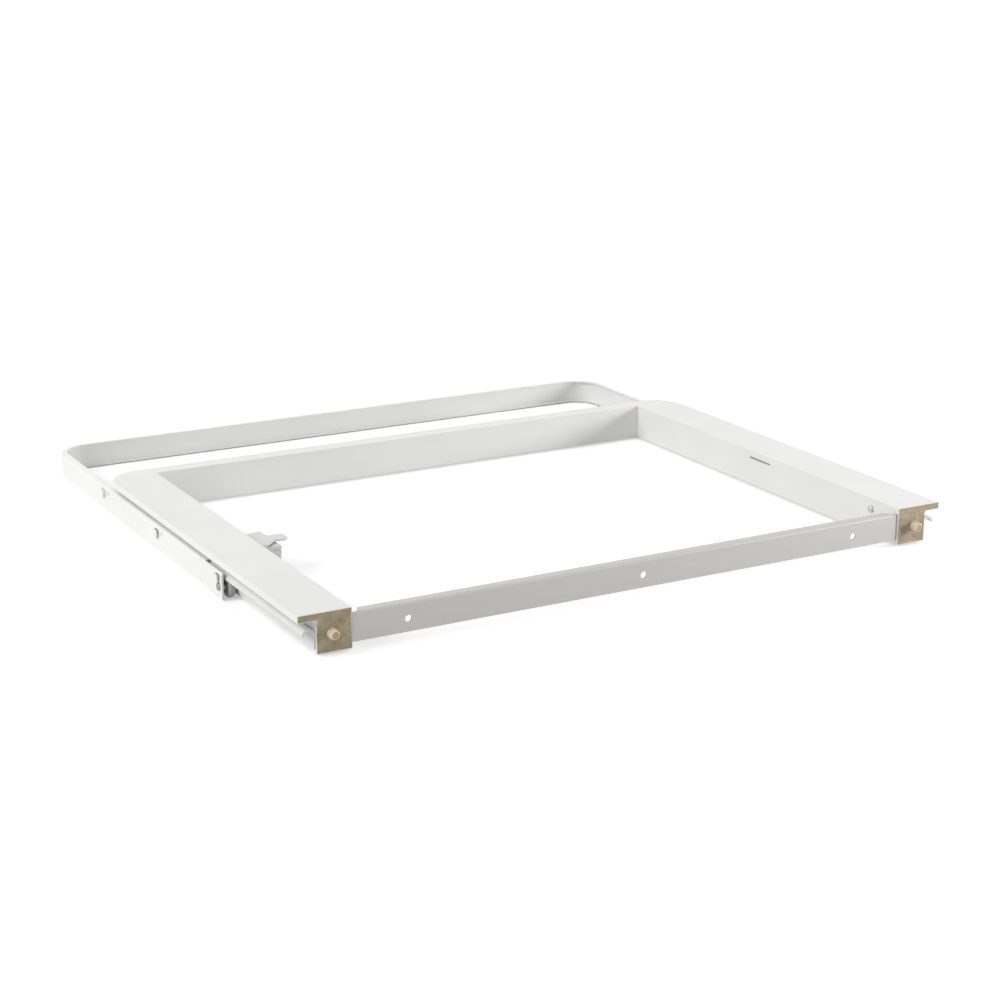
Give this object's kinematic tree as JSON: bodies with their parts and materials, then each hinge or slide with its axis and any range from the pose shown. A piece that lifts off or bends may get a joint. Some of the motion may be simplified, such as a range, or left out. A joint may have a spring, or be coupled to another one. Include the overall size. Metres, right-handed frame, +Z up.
{
  "type": "pull-out basket frame",
  "caption": "Pull-out frame for a cabinet basket: a white wooden frame with a steel front rail runs on rollers in a U-shaped steel band.",
  "frame": {"origin": "under the middle of the whole assembly, at the underside of the band", "axes": "+X to the right seen from the front, +Y to the back of the cabinet, +Z up"},
  "size_m": [0.609, 0.593, 0.0345],
  "materials": {
    "white_board": "satin",
    "white_steel": "satin",
    "rail_steel": "satin",
    "zinc_steel": "satin",
    "beech": "matte",
    "roller_plastic": "matte",
    "catch_plastic": "matte"
  },
  "bodies": {
    "band": {"outer_band": "white_steel", "front_roller_rivet_left": "zinc_steel", "front_roller_rivet_right": "zinc_steel"},
    "drawer_frame": {"back_board": "white_board", "rear_joint_dowels": "beech", "front_rail": "rail_steel", "front_rail_screws": "zinc_steel", "basket_catch": "catch_plastic", "side_board_left": "white_board", "front_dowel_left": "beech", "basket_stud_left": "zinc_steel", "slide_rail_left": "white_steel", "slide_rail_screws_left": "zinc_steel", "rear_roller_rivet_left": "zinc_steel", "side_board_right": "white_board", "front_dowel_right": "beech", "basket_stud_right": "zinc_steel", "slide_rail_right": "white_steel", "slide_rail_screws_right": "zinc_steel", "rear_roller_rivet_right": "zinc_steel"},
    "front_roller_left_body": {"front_roller_left": "roller_plastic"},
    "rear_roller_left_body": {"rear_roller_left": "roller_plastic"},
    "front_roller_right_body": {"front_roller_right": "roller_plastic"},
    "rear_roller_right_body": {"rear_roller_right": "roller_plastic"}
  },
  "joints": [
    {"name": "frame_slide", "type": "slide", "parent": "band", "child": "drawer_frame", "axis": [0, -1, 0], "range_m": [-0.145, 0.155]},
    {"name": "front_roller_left_turn", "type": "hinge", "parent": "band", "child": "front_roller_left_body", "pos_m": [-0.2935, -0.1315, 0.0102], "axis": [1, 0, 0], "range_deg": [-833, 891]},
    {"name": "rear_roller_left_turn", "type": "hinge", "parent": "drawer_frame", "child": "rear_roller_left_body", "pos_m": [-0.29645, 0.1115, 0.0098], "axis": [1, 0, 0], "range_deg": [-1041, 1113]},
    {"name": "front_roller_right_turn", "type": "hinge", "parent": "band", "child": "front_roller_right_body", "pos_m": [0.2935, -0.1315, 0.0102], "axis": [1, 0, 0], "range_deg": [-833, 891]},
    {"name": "rear_roller_right_turn", "type": "hinge", "parent": "drawer_frame", "child": "rear_roller_right_body", "pos_m": [0.29645, 0.1115, 0.0098], "axis": [1, 0, 0], "range_deg": [-1041, 1113]}
  ],
  "couplings": [
    {"joint": "front_roller_left_turn", "follows": "frame_slide", "rad_per_m": 100},
    {"joint": "rear_roller_left_turn", "follows": "frame_slide", "rad_per_m": 125},
    {"joint": "front_roller_right_turn", "follows": "frame_slide", "rad_per_m": 100},
    {"joint": "rear_roller_right_turn", "follows": "frame_slide", "rad_per_m": 125}
  ]
}
